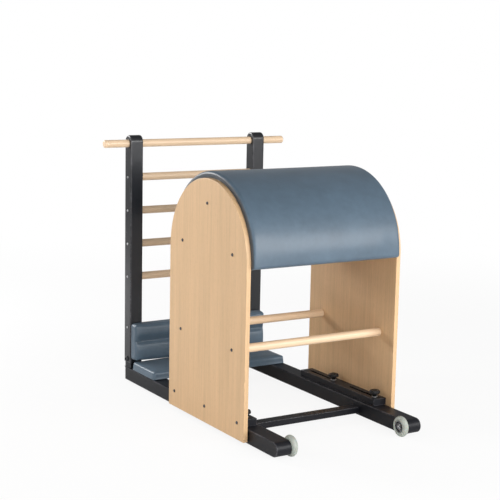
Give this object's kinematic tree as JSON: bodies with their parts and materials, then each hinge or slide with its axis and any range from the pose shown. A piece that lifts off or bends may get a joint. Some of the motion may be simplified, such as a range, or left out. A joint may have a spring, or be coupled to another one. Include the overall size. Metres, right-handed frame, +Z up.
{
  "type": "pilates ladder barrel",
  "caption": "Exercise ladder on a rolling steel base, with a padded half barrel on a sliding carriage and a low padded seat.",
  "frame": {"origin": "middle of the footprint's bounding box, on the floor", "axes": "+Z up, +Y from the wheels towards the ladder, +X to the right of someone who faces the ladder"},
  "size_m": [0.862, 1.22, 1.05],
  "materials": {
    "black_steel": "satin powder coat",
    "rubber": "matt",
    "dowel": "clear lacquer",
    "plywood": "bare",
    "laminate": "satin beech laminate",
    "vinyl": "soft sheen",
    "tread": "satin polyurethane",
    "zinc": "zinc plated",
    "black_plastic": "moulded"
  },
  "bodies": {
    "base": {"rail_left": "black_steel", "rail_right": "black_steel", "post_left": "black_steel", "post_right": "black_steel", "front_cross_tube": "black_steel", "rear_cross_tube": "black_steel", "foot_front_left": "rubber", "foot_front_right": "rubber", "foot_rear_left": "rubber", "foot_rear_right": "rubber", "upright_left": "black_steel", "upright_right": "black_steel", "frame_bolt_left": "black_steel", "frame_bolt_right": "black_steel", "rung_1_top": "dowel", "rung_2": "dowel", "rung_3": "dowel", "rung_4": "dowel", "rung_5": "dowel", "back_rest_rung": "dowel", "seat_pad": "vinyl", "seat_board": "plywood", "back_pad": "vinyl", "back_board": "plywood", "wheel_axle_left": "zinc", "wheel_axle_right": "zinc"},
    "wheel_left": {"wheel_tyre_left": "tread", "wheel_hub_left": "zinc", "wheel_bearing_left": "zinc"},
    "wheel_right": {"wheel_tyre_right": "tread", "wheel_hub_right": "zinc", "wheel_bearing_right": "zinc"},
    "barrel_carriage": {"side_panel_left": "laminate", "side_panel_right": "laminate", "arch_former_left": "plywood", "arch_former_right": "plywood", "barrel_shell": "plywood", "barrel_pad": "vinyl", "step_bar_front": "dowel", "step_bar_rear": "dowel", "slide_channel_left": "black_steel", "slide_channel_right": "black_steel", "former_screw_top_left": "zinc", "former_screw_front_left": "zinc", "former_screw_rear_left": "zinc", "former_screw_top_right": "zinc", "former_screw_front_right": "zinc", "former_screw_rear_right": "zinc"},
    "washer_front_left": {"knob_washer_front_left": "zinc"},
    "washer_rear_left": {"knob_washer_rear_left": "zinc"},
    "washer_front_right": {"knob_washer_front_right": "zinc"},
    "washer_rear_right": {"knob_washer_rear_right": "zinc"},
    "knob_front_left": {"knob_cap_front_left": "black_plastic", "knob_stud_front_left": "zinc"},
    "knob_rear_left": {"knob_cap_rear_left": "black_plastic", "knob_stud_rear_left": "zinc"},
    "knob_front_right": {"knob_cap_front_right": "black_plastic", "knob_stud_front_right": "zinc"},
    "knob_rear_right": {"knob_cap_rear_right": "black_plastic", "knob_stud_rear_right": "zinc"}
  },
  "joints": [
    {"name": "barrel_slide", "type": "slide", "parent": "base", "child": "barrel_carriage", "axis": [0, -1, 0], "range_m": [0, 0.16]},
    {"name": "wheel_spin_left", "type": "hinge", "parent": "base", "child": "wheel_left", "pos_m": [-0.2452, -0.571, 0.04], "axis": [1, 0, 0], "continuous": true},
    {"name": "wheel_spin_right", "type": "hinge", "parent": "base", "child": "wheel_right", "pos_m": [0.2452, -0.571, 0.04], "axis": [1, 0, 0], "continuous": true},
    {"name": "knob_lift_front_left", "type": "slide", "parent": "base", "child": "washer_front_left", "axis": [0, 0, 1], "range_m": [0, 0.0031]},
    {"name": "knob_lift_rear_left", "type": "slide", "parent": "base", "child": "washer_rear_left", "axis": [0, 0, 1], "range_m": [0, 0.0031]},
    {"name": "knob_lift_front_right", "type": "slide", "parent": "base", "child": "washer_front_right", "axis": [0, 0, 1], "range_m": [0, 0.0031]},
    {"name": "knob_lift_rear_right", "type": "slide", "parent": "base", "child": "washer_rear_right", "axis": [0, 0, 1], "range_m": [0, 0.0031]},
    {"name": "knob_turn_front_left", "type": "hinge", "parent": "washer_front_left", "child": "knob_front_left", "pos_m": [-0.2937, -0.341, 0.105], "axis": [0, 0, 1], "range_deg": [0, 720]},
    {"name": "knob_turn_rear_left", "type": "hinge", "parent": "washer_rear_left", "child": "knob_rear_left", "pos_m": [-0.2937, -0.063, 0.105], "axis": [0, 0, 1], "range_deg": [0, 720]},
    {"name": "knob_turn_front_right", "type": "hinge", "parent": "washer_front_right", "child": "knob_front_right", "pos_m": [0.2937, -0.341, 0.105], "axis": [0, 0, 1], "range_deg": [0, 720]},
    {"name": "knob_turn_rear_right", "type": "hinge", "parent": "washer_rear_right", "child": "knob_rear_right", "pos_m": [0.2937, -0.063, 0.105], "axis": [0, 0, 1], "range_deg": [0, 720]}
  ],
  "couplings": [
    {"joint": "knob_lift_front_left", "follows": "knob_turn_front_left", "m_per_rad": 0.00023873},
    {"joint": "knob_lift_rear_left", "follows": "knob_turn_rear_left", "m_per_rad": 0.00023873},
    {"joint": "knob_lift_front_right", "follows": "knob_turn_front_right", "m_per_rad": 0.00023873},
    {"joint": "knob_lift_rear_right", "follows": "knob_turn_rear_right", "m_per_rad": 0.00023873}
  ]
}
